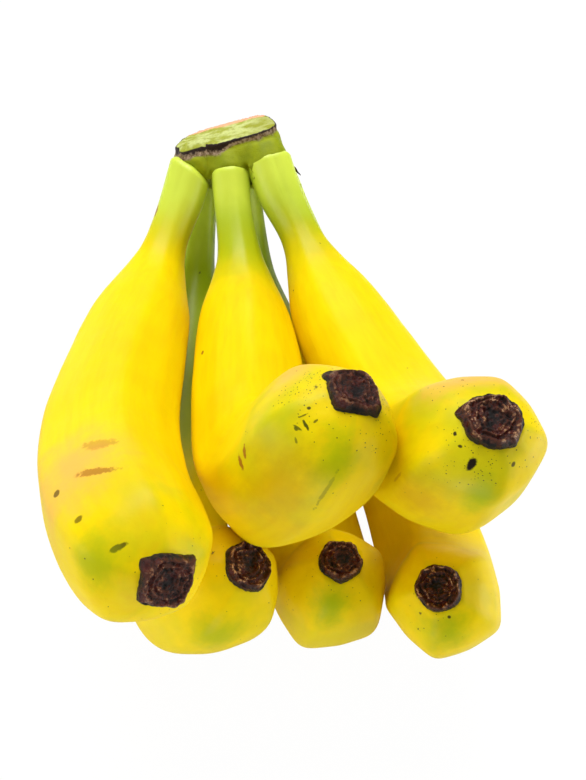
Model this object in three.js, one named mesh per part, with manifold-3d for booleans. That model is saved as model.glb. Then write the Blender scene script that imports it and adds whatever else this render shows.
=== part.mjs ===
// A cluster of six bananas, cut off with the crown they hang from and lying on their backs.
// Units are millimetres, +Z is up, and the origin is on the table under the middle of the cluster.
//
// The fruit and the crown are shaped in the cluster's own frame: the crown is round the origin, the
// fruit hang along -Y in two rows, and +Z is the side that they curve towards. The cluster is then
// turned to the pose it rests in, rocking on the backs of its lower row. Every fruit is a straight
// turned profile, pressed into a soft pentagon and bent along a smooth spine.
import * as THREE from "three";
import { NURBSCurve } from "three/addons/curves/NURBSCurve.js";
import { mergeVertices } from "three/addons/utils/BufferGeometryUtils.js";
import Module from "manifold-3d";

const wasm = await Module();
wasm.setup();

// ---- Driving dimensions ------------------------------------------------------------------------

const SIDES = 20; // facets round a fruit, four to each of its five ridges
const RIDGES = 5;
const STALK_SOFTNESS = 0.85; // 1 is a round section, 0 a pentagon with sharp corners
const TIP_SOFTNESS = 0.5;
const CORNER_GROWTH = 1.12; // keeps a pentagon's area near its circle's
const RINGS = 34; // stations along a fruit
const STALK_RADIUS = 7.2; // the fruit's own stalk, where it leaves the crown
const SCAR_RADIUS = 6.6; // the dry scar that the flower leaves at the tip
const GAP = 0.35; // clearance round a stalk in the crown
const SCAR_DISH = 1.2; // how deep the scar's middle ring is sunk

// How the cluster rests: degrees that its crown is lifted, and that it leans to its left side.
const CROWN_LIFTED = 32.3;
const LEANS_LEFT = 10.5;

// The crown, the short piece of the bunch's own stalk that the fruit hang from. Its base is between the
// fruit, and its top is where it would end without the cut. The exponent of its rounded section is
// squareness; 2 would be an ellipse.
const CROWN_BASE = { width: 53.5, depth: 26, squareness: 2.6, at: [0.7, -9.5, 0] };
const CROWN_TOP = { width: 24, depth: 29, squareness: 5.5, at: [-3, 32, 0] };
const CUT_POINT = [0, 14, 0];
const CUT_NORMAL = [-0.27, 1, 0.58]; // the knife's slant

// The torn sliver of dry sheath that hangs from the crown's side.
const FLAKE = { length: 10, width: 3.4, thickness: 0.7, lean: 22, curl: 25 };
const FLAKE_AT = [22.6, 3.5, 3];

// A spine is a cubic spline with five poles.
const SPINE_DEGREE = 3;
const SPINE_KNOTS = [0, 0, 0, 0, 0.5, 1, 1, 1, 1];

// Each fruit: the five poles of its spine, its thickness, and the degrees its ridges are turned by.
const FRUITS = [
  {
    name: "banana_upper_left",
    root: [-16, -4, 8],
    neck: [-30, -51, 7],
    shoulder: [-33, -83, 47],
    belly: [-29, -117, 98],
    tip: [-4, -128, 134],
    thickness: 38.5,
    turn: 20,
  },
  {
    name: "banana_upper_middle",
    root: [1, -4, 8],
    neck: [5, -51, 9],
    shoulder: [8, -97, 46],
    belly: [18, -122, 97],
    tip: [36, -86, 132],
    thickness: 38.5,
    turn: 23,
  },
  {
    name: "banana_upper_right",
    root: [17, -1, 8],
    neck: [32, -47, 9],
    shoulder: [54, -86, 38],
    belly: [64, -117, 92],
    tip: [65, -91, 136],
    thickness: 37.5,
    turn: 10,
  },
  {
    name: "banana_lower_left",
    root: [-13, -2, -8],
    neck: [-16, -48, -21],
    shoulder: [-23, -114, 10],
    belly: [-17, -164, 53],
    tip: [12, -134, 95],
    thickness: 37.5,
    turn: -26,
  },
  {
    name: "banana_lower_middle",
    root: [3, -2, -8],
    neck: [8, -50, -23],
    shoulder: [27, -123, 1],
    belly: [34, -169, 42],
    tip: [37, -133, 84],
    thickness: 36,
    turn: 38,
  },
  {
    name: "banana_lower_right",
    root: [19, -2, -8],
    neck: [42, -54, -22],
    shoulder: [69, -122, 8],
    belly: [76, -162, 48],
    tip: [63, -140, 92],
    thickness: 36,
    turn: 32,
  },
];

// A fruit's radius along its length, as shares of the length and of half the thickness.
const SWELL = [
  [0.17, 0.43],
  [0.23, 0.61],
  [0.3, 0.82],
  [0.38, 0.92],
  [0.52, 0.97],
  [0.7, 1.0],
  [0.82, 0.99],
  [0.9, 0.93],
  [0.955, 0.76],
];

// ---- Helpers -----------------------------------------------------------------------------------

const vector = (xyz) => new THREE.Vector3(...xyz);

// A closed mesh as a manifold-3d solid.
function solidOf(geometry) {
  const bare = geometry.clone();
  bare.deleteAttribute("normal");
  bare.deleteAttribute("uv");
  const merged = mergeVertices(bare, 1e-3);
  return new wasm.Manifold(
    new wasm.Mesh({
      numProp: 3,
      vertProperties: merged.attributes.position.array,
      triVerts: new Uint32Array(merged.index.array),
    }),
  );
}

function geometryOf(solid) {
  const mesh = solid.getMesh();
  return new THREE.BufferGeometry()
    .setAttribute("position", new THREE.BufferAttribute(mesh.vertProperties, 3))
    .setIndex(new THREE.BufferAttribute(mesh.triVerts, 1));
}

// ---- Fruit -------------------------------------------------------------------------------------

// The line that a fruit's middle follows, with a steady sideways axis to bend about.
function spineOf(fruit) {
  const { root, neck, shoulder, belly, tip } = fruit;
  const poles = [root, neck, shoulder, belly, tip].map((xyz) => new THREE.Vector4(...xyz, 1));
  const curve = new NURBSCurve(SPINE_DEGREE, SPINE_KNOTS, poles);
  const bendAxis = curve.getTangentAt(0).cross(curve.getTangentAt(1)).normalize();
  return { curve, bendAxis, length: curve.getLength() };
}

// The point at a distance along the spine, and the directions across it. Below 0 it runs on straight.
function frameAt(spine, distance) {
  const share = THREE.MathUtils.clamp(distance / spine.length, 0, 1);
  const along = spine.curve.getTangentAt(share);
  const point = spine.curve.getPointAt(share);
  point.addScaledVector(along, Math.min(0, distance));
  const sideways = spine.bendAxis.clone().projectOnPlane(along).normalize();
  const back = new THREE.Vector3().crossVectors(sideways, along).negate();
  return { point, sideways, back };
}

// Radius of a soft pentagon over the radius of its circle, with a corner at angle 0.
function pentagon(angle, softness) {
  const sector = (2 * Math.PI) / RIDGES;
  const fromMiddle = THREE.MathUtils.euclideanModulo(angle, sector) - sector / 2;
  const straight = Math.cos(sector / 2) / Math.cos(fromMiddle);
  return THREE.MathUtils.lerp(straight * CORNER_GROWTH, 1, softness);
}

// Bends a shape turned round Y along a spine and gives it the ridges, which are sharper at the tip.
function bend(geometry, spine, turn) {
  const position = geometry.attributes.position;
  for (let i = 0; i < position.count; i++) {
    const distance = position.getY(i);
    const angle = Math.atan2(position.getZ(i), position.getX(i));
    const ripening = THREE.MathUtils.smoothstep(distance / spine.length, 0.1, 0.9);
    const softness = THREE.MathUtils.lerp(STALK_SOFTNESS, TIP_SOFTNESS, ripening);
    const ridged = pentagon(angle, softness);
    const radius = Math.hypot(position.getX(i), position.getZ(i)) * ridged;
    const around = angle + THREE.MathUtils.degToRad(turn);
    const { point, sideways, back } = frameAt(spine, distance);
    point.addScaledVector(back, radius * Math.cos(around));
    point.addScaledVector(sideways, radius * Math.sin(around));
    position.setXYZ(i, point.x, point.y, point.z);
  }
  return geometry;
}

function fruitGeometry(fruit) {
  const spine = spineOf(fruit);
  const half = fruit.thickness / 2;
  const outline = new THREE.SplineCurve([
    new THREE.Vector2(STALK_RADIUS, 0),
    new THREE.Vector2(STALK_RADIUS * 0.97, 0.09 * spine.length),
    ...SWELL.map(([along, out]) => new THREE.Vector2(out * half, along * spine.length)),
    new THREE.Vector2(SCAR_RADIUS, 0.985 * spine.length),
  ]);
  const profile = [
    new THREE.Vector2(0, 0),
    new THREE.Vector2(STALK_RADIUS * 0.6, 0),
    ...outline.getSpacedPoints(RINGS),
    new THREE.Vector2(SCAR_RADIUS * 0.94, spine.length),
    new THREE.Vector2(SCAR_RADIUS * 0.55, spine.length - SCAR_DISH),
    new THREE.Vector2(0, spine.length - SCAR_DISH / 2),
  ];
  return bend(new THREE.LatheGeometry(profile, SIDES), spine, fruit.turn);
}

// The stalk end of a fruit, grown by the clearance, which is what its socket in the crown leaves free.
function stalkClearance(fruit) {
  const spine = spineOf(fruit);
  const reach = 0.18 * spine.length;
  const radius = STALK_RADIUS * 1.02 + GAP;
  const profile = [
    new THREE.Vector2(0, -GAP),
    new THREE.Vector2(radius, -GAP),
    new THREE.Vector2(radius, reach / 2),
    new THREE.Vector2(radius * 1.15, reach),
    new THREE.Vector2(0, reach),
  ];
  return bend(new THREE.LatheGeometry(profile, SIDES), spine, fruit.turn);
}

// ---- Crown -------------------------------------------------------------------------------------

// A tapering block with a rounded, nearly rectangular section, before the cut and the sockets.
function crownBlock() {
  const block = new THREE.CylinderGeometry(1, 1, 1, 48, 5);
  const position = block.attributes.position;
  for (let i = 0; i < position.count; i++) {
    const rise = position.getY(i) + 0.5;
    const angle = Math.atan2(position.getZ(i), position.getX(i));
    const share = Math.hypot(position.getX(i), position.getZ(i));
    const width = THREE.MathUtils.lerp(CROWN_BASE.width, CROWN_TOP.width, rise);
    const depth = THREE.MathUtils.lerp(CROWN_BASE.depth, CROWN_TOP.depth, rise);
    const squareness = THREE.MathUtils.lerp(CROWN_BASE.squareness, CROWN_TOP.squareness, rise);
    const centre = vector(CROWN_BASE.at).lerp(vector(CROWN_TOP.at), rise);
    const [across, deep] = [Math.cos(angle), Math.sin(angle)].map(
      (c) => Math.sign(c) * Math.abs(c) ** (2 / squareness),
    );
    position.setXYZ(
      i,
      centre.x + (share * across * width) / 2,
      centre.y,
      centre.z + (share * deep * depth) / 2,
    );
  }
  return block;
}

function crownGeometry() {
  const normal = vector(CUT_NORMAL).normalize();
  const keepBelow = normal.clone().negate();
  let crown = solidOf(crownBlock());
  crown = crown.trimByPlane(keepBelow.toArray(), keepBelow.dot(vector(CUT_POINT)));
  for (const fruit of FRUITS) {
    crown = crown.subtract(solidOf(stalkClearance(fruit)));
  }
  return geometryOf(crown);
}

// ---- Dry flake ---------------------------------------------------------------------------------

// A thin strip that narrows to its free end and curls away from the crown.
function flakeGeometry() {
  const strip = new THREE.BoxGeometry(FLAKE.thickness, FLAKE.length, FLAKE.width, 1, 8, 2);
  const position = strip.attributes.position;
  const curl = THREE.MathUtils.degToRad(FLAKE.curl);
  for (let i = 0; i < position.count; i++) {
    const along = 0.5 - position.getY(i) / FLAKE.length;
    const narrowing = 1 - 0.75 * along ** 2;
    const radius = FLAKE.length / curl;
    const angle = curl * along ** 1.5;
    const out = radius * (1 - Math.cos(angle)) + position.getX(i) * Math.cos(angle) * narrowing;
    const down = radius * Math.sin(angle) - position.getX(i) * Math.sin(angle) * narrowing;
    position.setXYZ(i, out, -down, position.getZ(i) * narrowing);
  }
  return strip.rotateZ(THREE.MathUtils.degToRad(FLAKE.lean)).translate(...FLAKE_AT);
}

// ---- Assembly ----------------------------------------------------------------------------------

const cluster = new THREE.Group();

function add(name, geometry, color, roughness) {
  const material = new THREE.MeshStandardMaterial({ color, roughness, metalness: 0 });
  const mesh = new THREE.Mesh(geometry, material);
  mesh.name = name;
  cluster.add(mesh);
}

add("crown", crownGeometry(), 0xa9b32a, 0.6);
for (const fruit of FRUITS) {
  add(fruit.name, fruitGeometry(fruit), 0xf2d21e, 0.45);
}
add("dry_flake", flakeGeometry(), 0x3a2618, 0.85);

cluster.rotation.set(
  THREE.MathUtils.degToRad(CROWN_LIFTED),
  THREE.MathUtils.degToRad(-LEANS_LEFT),
  0,
  "ZYX",
);

// The table's surface is Z 0, under the middle of the cluster.
const onTable = new THREE.Group();
onTable.add(cluster);
onTable.updateMatrixWorld(true);
const box = new THREE.Box3().setFromObject(onTable, true);
const middle = box.getCenter(new THREE.Vector3());
cluster.position.sub(new THREE.Vector3(middle.x, middle.y, box.min.z));

export default onTable;
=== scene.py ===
# %% [markdown]
# # A bunch of bananas
# Six bananas hang from one crown, the short piece of the plant's own stalk that was cut through when the
# bunch was taken off. The bunch lies on the backs of its lower row, so the crown is lifted and the dark
# blossom scars look up. The solids in the frame give every fruit its true bend, thickness and place.
# This file turns them into fruit that can be looked at closely: a fine skin over the same rings, a woody
# scar on each tip, a grown crown instead of a block, and materials with ripeness, grain and bruises.

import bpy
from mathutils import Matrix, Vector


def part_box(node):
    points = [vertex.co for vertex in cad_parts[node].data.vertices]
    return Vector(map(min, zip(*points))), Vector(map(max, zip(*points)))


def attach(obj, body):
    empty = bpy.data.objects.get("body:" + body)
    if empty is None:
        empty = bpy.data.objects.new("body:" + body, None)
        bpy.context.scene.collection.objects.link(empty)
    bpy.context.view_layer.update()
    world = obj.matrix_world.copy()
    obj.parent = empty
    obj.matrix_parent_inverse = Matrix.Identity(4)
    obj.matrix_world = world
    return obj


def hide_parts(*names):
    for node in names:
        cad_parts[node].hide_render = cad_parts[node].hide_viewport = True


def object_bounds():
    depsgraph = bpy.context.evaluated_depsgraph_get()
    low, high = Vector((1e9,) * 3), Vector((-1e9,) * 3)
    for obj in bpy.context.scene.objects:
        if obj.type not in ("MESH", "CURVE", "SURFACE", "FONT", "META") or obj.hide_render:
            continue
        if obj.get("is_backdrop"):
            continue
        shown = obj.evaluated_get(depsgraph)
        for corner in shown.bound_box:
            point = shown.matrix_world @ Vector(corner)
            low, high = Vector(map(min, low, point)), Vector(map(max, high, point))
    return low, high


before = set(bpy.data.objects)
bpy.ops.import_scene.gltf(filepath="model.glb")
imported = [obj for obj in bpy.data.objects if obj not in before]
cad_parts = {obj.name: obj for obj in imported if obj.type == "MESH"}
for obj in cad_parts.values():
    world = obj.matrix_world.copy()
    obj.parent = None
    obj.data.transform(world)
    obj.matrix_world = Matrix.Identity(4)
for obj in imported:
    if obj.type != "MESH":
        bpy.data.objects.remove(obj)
cad_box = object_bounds()
print("frame:", sorted(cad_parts), "box", cad_box)

# %% [markdown]
# ## Units and helpers
# Blender works in metres, but a fruit is thought of in millimetres, so lengths are written with MM.
# Every fruit repeats the same work, so the shapes come from a few numpy functions.

# %% Units and helpers
import math

import bmesh
import bpy
import numpy as np
from mathutils import Matrix, Vector, noise

MM = 0.001
WELD = 0.002 * MM  # points nearer than this are one point
FRUITS = [name for name in sorted(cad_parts) if name.startswith("banana_")]
CROWN_CENTRE = np.mean(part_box("crown"), axis=0)


def unit(vectors):
    """Vectors of length 1, along the last axis."""
    return vectors / np.linalg.norm(vectors, axis=-1, keepdims=True)


def ramp(value, start, end):
    """0 before start, 1 after end, and an even ease between them."""
    share = np.clip((np.asarray(value, float) - start) / (end - start), 0, 1)
    return share * share * (3 - 2 * share)


print("fruit:", FRUITS)

# %% [markdown]
# ## Reading a fruit's rings
# Each CAD fruit is a tube of rings between two end points, and each end point touches a whole ring at
# once. Walking from the end point at the crown, neighbour by neighbour, gives the rings in order. Each
# ring is then turned until it lines up with the one before it, so that one column runs along the fruit.

# %% Read the rings
def ordered_ring(verts):
    """The vertices of one ring, in order round it."""
    left = set(verts)
    ring = [next(iter(verts))]
    left.discard(ring[0])
    while left:
        follower = [v for e in ring[-1].link_edges if (v := e.other_vert(ring[-1])) in left]
        ring.append(follower[0])
        left.discard(follower[0])
    return np.array([v.co[:] for v in ring])


def lined_up(ring, before):
    """The ring turned, and reversed if need be, so that its points lie beside those before it."""
    shape, goal = unit(ring - ring.mean(0)), unit(before - before.mean(0))
    choices = []
    for way in (1, -1):
        for step in range(len(ring)):
            turned = np.roll(shape[::way], step, axis=0)
            choices.append((((turned - goal) ** 2).sum(), way, step))
    _, way, step = min(choices)
    return np.roll(ring[::way], step, axis=0)


def read_rings(node):
    """Rings from the stalk to the tip, as an array of rings x columns x 3."""
    mesh = bmesh.new()
    mesh.from_mesh(node.data)
    bmesh.ops.remove_doubles(mesh, verts=mesh.verts, dist=WELD)
    ends = sorted(mesh.verts, key=lambda v: -len(v.link_edges))[:2]
    start = min(ends, key=lambda v: np.linalg.norm(np.array(v.co) - CROWN_CENTRE))
    seen, current, rings = {start, *ends}, [start], []
    while True:
        found = {e.other_vert(v) for v in current for e in v.link_edges} - seen
        if not found:
            break
        seen |= found
        ring = ordered_ring(sorted(found, key=lambda v: v.index))
        rings.append(lined_up(ring, rings[-1]) if rings else ring)
        current = list(found)
    mesh.free()
    return np.array(rings)


rings_of = {name: read_rings(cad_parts[name]) for name in FRUITS}
for name, rings in rings_of.items():
    middle = rings.mean(1)
    length = np.linalg.norm(np.diff(middle, axis=0), axis=1).sum() / MM
    print(f"{name}: {rings.shape[0]} rings of {rings.shape[1]}, {length:.0f} mm along")

# %% [markdown]
# ## The camera
# The bunch lies with its tips up, so the camera looks down on it from the tips' side, a little to the
# left. It could be aimed with a Track To constraint, but its up direction has to follow the bunch's own
# axis, from the fruit to the crown, so both directions are written out and made into a matrix.

# %% Camera
CAMERA_PLACE = Vector((-0.0394, -0.1589, 0.2842))
CAMERA_LOOKS = Vector((0.15404, 0.53435, -0.83111))
CAMERA_UP = Vector((-0.09738, 0.84526, 0.5254))
LENS = 36.92  # mm, on a sensor of SENSOR mm
SENSOR = 36
NEAREST_SEEN = 10 * MM

camera_data = bpy.data.cameras.new("camera")
camera_data.lens = LENS
camera_data.sensor_width = SENSOR
camera_data.clip_start = NEAREST_SEEN
camera = bpy.data.objects.new("camera", camera_data)
bpy.context.collection.objects.link(camera)
side = CAMERA_LOOKS.cross(CAMERA_UP).normalized()
above = side.cross(CAMERA_LOOKS).normalized()
turn = Matrix((side, above, -CAMERA_LOOKS.normalized())).transposed()
camera.matrix_world = Matrix.Translation(CAMERA_PLACE) @ turn.to_4x4()
bpy.context.scene.camera = camera
print("camera:", tuple(round(c, 3) for c in camera.location), "lens", camera_data.lens)

# %% [markdown]
# ## Helpers for shader nodes
# Every material here is a tree of nodes. They could be placed by hand in the shader editor, but in a script
# a few helpers keep a tree nearly as short as a formula. One makes any node with its inputs, and the others
# make the nodes that are needed again and again.

# %% Shader node helpers
def node(tree, kind, inputs=None, **settings):
    """A new node with its settings, and its inputs set to values or linked to sockets."""
    made = tree.nodes.new(kind)
    for key, value in settings.items():
        setattr(made, key, value)
    for key, value in (inputs or {}).items():
        if isinstance(value, bpy.types.NodeSocket):
            tree.links.new(value, made.inputs[key])
        else:
            made.inputs[key].default_value = value
    return made


def math_node(tree, operation, *values, clamp=False):
    """One Math node's result."""
    inputs = dict(enumerate(values))
    return node(tree, "ShaderNodeMath", inputs, operation=operation, use_clamp=clamp).outputs[0]


def eased(tree, value, low, high):
    """0 at low, 1 at high, with an even ease between them; low may be above high."""
    inputs = {"Value": value, "From Min": low, "From Max": high}
    made = node(tree, "ShaderNodeMapRange", inputs, interpolation_type="SMOOTHSTEP", clamp=True)
    return made.outputs["Result"]


def mixed(tree, share, first, second):
    """Two colours mixed by a share."""
    made = node(tree, "ShaderNodeMix", data_type="RGBA", clamp_factor=True)
    for socket, value in ((made.inputs[0], share), (made.inputs[6], first), (made.inputs[7], second)):
        if isinstance(value, bpy.types.NodeSocket):
            tree.links.new(value, socket)
        else:
            socket.default_value = value
    return made.outputs[2]


def stored(tree, name, output="Fac"):
    """A value that the mesh carries at each vertex."""
    return node(tree, "ShaderNodeAttribute", attribute_name=name).outputs[output]


def noise_node(tree, vector, scale, detail=3.0, roughness=0.55):
    """A Noise Texture's value, about 0.5 on average."""
    inputs = {"Vector": vector, "Scale": scale, "Detail": detail, "Roughness": roughness}
    return node(tree, "ShaderNodeTexNoise", inputs).outputs["Fac"]


def new_group(name, takes, gives):
    """A shader node group with named inputs and outputs, and its two end nodes."""
    tree = bpy.data.node_groups.new(name, "ShaderNodeTree")
    for label, kind, default in takes:
        socket = tree.interface.new_socket(label, in_out="INPUT", socket_type="NodeSocket" + kind)
        if default is not None:
            socket.default_value = default
    for label, kind in gives:
        tree.interface.new_socket(label, in_out="OUTPUT", socket_type="NodeSocket" + kind)
    return tree, tree.nodes.new("NodeGroupInput").outputs, tree.nodes.new("NodeGroupOutput").inputs


def grouped(tree, group, inputs):
    """A group placed in a material, with its values."""
    made = tree.nodes.new("ShaderNodeGroup")
    made.node_tree = group
    for key, value in inputs.items():
        if isinstance(value, bpy.types.NodeSocket):
            tree.links.new(value, made.inputs[key])
        else:
            made.inputs[key].default_value = value
    return made.outputs


def new_material(name):
    """An empty node material with its Principled shader."""
    material = bpy.data.materials.new(name)
    material.use_nodes = True
    tree = material.node_tree
    tree.nodes.clear()
    shader = tree.nodes.new("ShaderNodeBsdfPrincipled")
    output = tree.nodes.new("ShaderNodeOutputMaterial")
    tree.links.new(shader.outputs["BSDF"], output.inputs["Surface"])
    return material, tree, shader


def rgb(red, green, blue):
    """A display colour from 0 to 255 as the linear colour that shaders take."""
    shares = (c / 255 for c in (red, green, blue))
    return (*((s / 12.92 if s <= 0.04045 else ((s + 0.055) / 1.055) ** 2.4) for s in shares), 1.0)


print("helpers ready")

# %% [markdown]
# ## The table
# The bunch lies on a plain, nearly white table, lit until it is a little overexposed, as in a studio. Enough
# light for that would wash out the fruit too. So the camera alone sees the table glow: the light path says
# which rays come from the camera, and all the others meet an ordinary white surface.

# %% Table
FLOOR_HALF = 3.0
TABLE_GLOW = 0.94  # share of the glow in what the camera sees; the rest keeps a faint shadow
GLOW_STRENGTH = 1.03
TABLE_WHITE = (0.7, 0.7, 0.7, 1)

floor_mesh = bpy.data.meshes.new("table_top")
corners = [(x * FLOOR_HALF, y * FLOOR_HALF, 0) for x, y in ((-1, -1), (1, -1), (1, 1), (-1, 1))]
floor_mesh.from_pydata(corners, [], [(0, 1, 2, 3)])
floor = bpy.data.objects.new("table_top", floor_mesh)
bpy.context.collection.objects.link(floor)
floor_material, floor_tree, floor_shader = new_material("white_table")
floor_shader.inputs["Base Color"].default_value = TABLE_WHITE
floor_shader.inputs["Roughness"].default_value = 0.6
glow = node(floor_tree, "ShaderNodeEmission", {"Color": (1, 1, 1, 1), "Strength": GLOW_STRENGTH})
seen = node(floor_tree, "ShaderNodeLightPath").outputs["Is Camera Ray"]
glow_share = math_node(floor_tree, "MULTIPLY", seen, TABLE_GLOW)
blend = node(floor_tree, "ShaderNodeMixShader", {
    0: glow_share, 1: floor_shader.outputs["BSDF"], 2: glow.outputs[0],
})
floor_tree.links.new(blend.outputs[0], floor_tree.nodes["Material Output"].inputs["Surface"])
floor_mesh.materials.append(floor_material)
floor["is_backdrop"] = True
print("table:", floor.name)

# %% [markdown]
# ## The light
# Light comes from a white sky, dimmer towards the table, and from four soft square lamps: a large one behind
# and above the crown, one at each side, and a small low one in front that lifts the lower row. A sun or
# spots would throw hard shadows. Broad lamps only leave the undersides of the curled tips darker.

# %% Light
def soft_lamp(name, place, target, size, watts):
    """A square area lamp that faces a target."""
    data = bpy.data.lights.new(name, "AREA")
    data.size = size
    data.energy = watts
    lamp = bpy.data.objects.new(name, data)
    lamp.location = place
    lamp.rotation_euler = (Vector(target) - Vector(place)).to_track_quat("-Z", "Y").to_euler()
    bpy.context.collection.objects.link(lamp)


LAMPS = {
    # name: (place, target, size and watts)
    "lamp_behind_crown": ((-0.2, 0.55, 0.8), (0, 0, 0.05), 0.7, 9.4),
    "lamp_at_right": ((0.85, -0.15, 0.16), (0, 0, 0.04), 0.6, 6),
    "lamp_low_in_front": ((-0.06, -0.4, 0.06), (0, -0.1, 0.03), 0.16, 0.36),
    "lamp_at_left": ((-0.85, -0.3, 0.16), (0, 0, 0.04), 0.6, 3.6),
}
SKY_FOOT, SKY_TOP = -0.1, 0.9  # heights between which the sky grows brighter
SKY_LOW, SKY_HIGH = 0.08, 0.32  # its strengths there
world = bpy.data.worlds.new("white_sky")
world.use_nodes = True
sky_tree = world.node_tree
sky = sky_tree.nodes["Background"]
sky.inputs["Color"].default_value = (1, 1, 1, 1)
direction = node(sky_tree, "ShaderNodeTexCoord").outputs["Generated"]
height = node(sky_tree, "ShaderNodeSeparateXYZ", {0: direction}).outputs["Z"]
brighter = eased(sky_tree, height, SKY_FOOT, SKY_TOP)
glow = node(sky_tree, "ShaderNodeMapRange", {"Value": brighter, "To Min": SKY_LOW, "To Max": SKY_HIGH})
# The camera itself sees a plain white sky.
seen = node(sky_tree, "ShaderNodeLightPath").outputs["Is Camera Ray"]
strength = math_node(sky_tree, "MAXIMUM", glow.outputs["Result"], seen)
sky_tree.links.new(strength, sky.inputs["Strength"])
bpy.context.scene.world = world
for name, (place, target, size, watts) in LAMPS.items():
    soft_lamp(name, place, target, size, watts)
bpy.context.scene.view_settings.view_transform = "Standard"

# %% [markdown]
# ## A fine skin for each fruit
# The CAD rings are far apart, so the skin is filled in between them: round a ring with a Fourier series
# and along the fruit with a Catmull-Rom curve. Both pass through every CAD point, except that the corners
# are rounded off a little towards the tip. A subdivision surface would shrink the fruit and leave no
# control over ridges. Two attributes go with each vertex:
# along runs from 0 at the crown to 1 at the scar, and straight is the point's place on the fruit
# before it was bent, which lets grain and bruises follow the bend.

# %% Fill in the rings
AROUND = 120
STEPS = 6  # fine rings to each CAD ring
TIP_SOFTNESS = 0.55  # share of the corners that is taken off at the tip
SEED_STEP = 0.37  # metres between one fruit's grain and the next one's


def round_filled(rings):
    """Rings with AROUND points; towards the tip their corners are rounded off a little."""
    spectrum = np.fft.rfft(rings, axis=1)
    towards_tip = ramp(np.arange(len(rings)), 0.6 * len(rings), 0.85 * len(rings))
    # The first three terms of the series are the ring's place and its round shape.
    spectrum[:, 3:] *= (1 - TIP_SOFTNESS * towards_tip)[:, None, None]
    return np.fft.irfft(spectrum, n=AROUND, axis=1) * (AROUND / rings.shape[1])


def along_filled(rings):
    """STEPS rings for each one, on Catmull-Rom curves through the rings they had."""
    last = len(rings) - 1
    padded = np.concatenate([2 * rings[:1] - rings[1:2], rings, 2 * rings[-1:] - rings[-2:-1]])
    t = np.linspace(0, last, last * STEPS + 1)
    i = np.minimum(t.astype(int), last - 1)
    f = (t - i).reshape((-1,) + (1,) * (rings.ndim - 1))
    p0, p1, p2, p3 = (padded[i + k] for k in range(4))
    return 0.5 * (
        2 * p1 + (p2 - p0) * f + (2 * p0 - 5 * p1 + 4 * p2 - p3) * f**2
        + (3 * p1 - p0 - 3 * p2 + p3) * f**3
    )


RIDGES = 5


def ridge_angle(rings):
    """Where the first ridge lies, in radians from column 0, read from the swollen part."""
    swollen = rings[len(rings) // 2 : -5]
    reach = np.linalg.norm(swollen - swollen.mean(1, keepdims=True), axis=2).mean(0)
    angles = np.arange(len(reach)) * 2 * np.pi / len(reach)
    return np.angle((reach * np.exp(1j * RIDGES * angles)).sum()) / RIDGES


print("each skin:", AROUND, "columns")

# %% [markdown]
# ### Ridges, hollows and lumps
# A banana has five ridges. They are soft on the belly of the fruit and clearer near the tip, where the peel
# sinks in between them. On top of that every fruit is a little lumpy. All of this moves the skin by less
# than two millimetres, along its own radius.

# %% Ridges, hollows and lumps
RIDGE_WIDTH = math.radians(11)
RIDGE_HEIGHT = 0.7 * MM
HOLLOW_DEPTH = 0.5 * MM
LUMP = 0.35 * MM
RIDGE_SINK = 0.3  # share of a ridge's height by which the skin between ridges is drawn in
ON_BELLY = 0.16  # share of the ridges that shows away from the tip


def skin_shift(along, angle, seed, sharpness):
    """How far each skin point moves outward."""
    sector = 2 * np.pi / RIDGES
    off = (angle + sector / 2) % sector - sector / 2
    ridge = np.exp(-((off / RIDGE_WIDTH) ** 2)) - RIDGE_SINK
    hollow = np.cos(RIDGES * angle) * 0.5 - 0.5
    near_tip = ramp(along, 0.62, 0.88) * (1 - 0.85 * ramp(along, 0.93, 1.0))
    grown = ON_BELLY + (1 - ON_BELLY) * near_tip * sharpness
    shift = RIDGE_HEIGHT * ridge * grown * ramp(along, 0.04, 0.2)
    shift += HOLLOW_DEPTH * hollow * near_tip * sharpness
    lumps = np.array([
        [
            noise.noise((math.cos(t) * 1.1 + seed, math.sin(t) * 1.1, a * 7))
            + 0.35 * noise.noise((math.cos(t) * 2.6, math.sin(t) * 2.6 + seed, a * 19))
            for t in angle
        ]
        for a in along[:, 0]
    ])
    return shift + LUMP * lumps * ramp(along, 0.05, 0.3)


print("ridges:", round(RIDGE_HEIGHT / MM, 2), "mm high; hollows:", round(HOLLOW_DEPTH / MM, 2), "mm deep")

# %% [markdown]
# ### Meshes from points
# A mesh can be drawn face by face in bmesh, but a tube of rings is quicker to hand over whole, as a list of
# points and a list of faces. Each mesh also gets the map that its colours are kept in, and attributes, which
# are values that its material reads at each vertex.

# %% Meshes from points
def mesh_of(name, points, faces, corner_uvs=None):
    """A smooth-shaded object from points and faces, with the map that its colours are kept in."""
    mesh = bpy.data.meshes.new(name)
    mesh.from_pydata([tuple(p) for p in points], [], faces)
    mesh.polygons.foreach_set("use_smooth", [True] * len(faces))
    if corner_uvs is not None:
        layer = mesh.uv_layers.new(name="OFBake")
        layer.data.foreach_set("uv", np.asarray(corner_uvs, np.float32).ravel())
    made = bpy.data.objects.new(name, mesh)
    bpy.context.collection.objects.link(made)
    return made


def add_values(mesh, name, values, kind="FLOAT"):
    """A value, or a vector, for each vertex, which shaders read by its name."""
    layer = mesh.attributes.new(name, kind, "POINT")
    key = "vector" if kind == "FLOAT_VECTOR" else "value"
    layer.data.foreach_set(key, np.asarray(values, np.float32).ravel())


def tube_faces(rings, columns):
    """Quads between rings of points, and their corners' places in the map."""
    faces, uvs = [], []
    for r in range(rings - 1):
        for c in range(columns):
            d = (c + 1) % columns
            faces.append((r * columns + c, r * columns + d, (r + 1) * columns + d, (r + 1) * columns + c))
            low, high = r / (rings - 1), (r + 1) / (rings - 1)
            left, right = c / columns, (c + 1) / columns
            uvs += [(left, low), (right, low), (right, high), (left, high)]
    return faces, uvs


print("mesh helpers ready")

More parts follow.
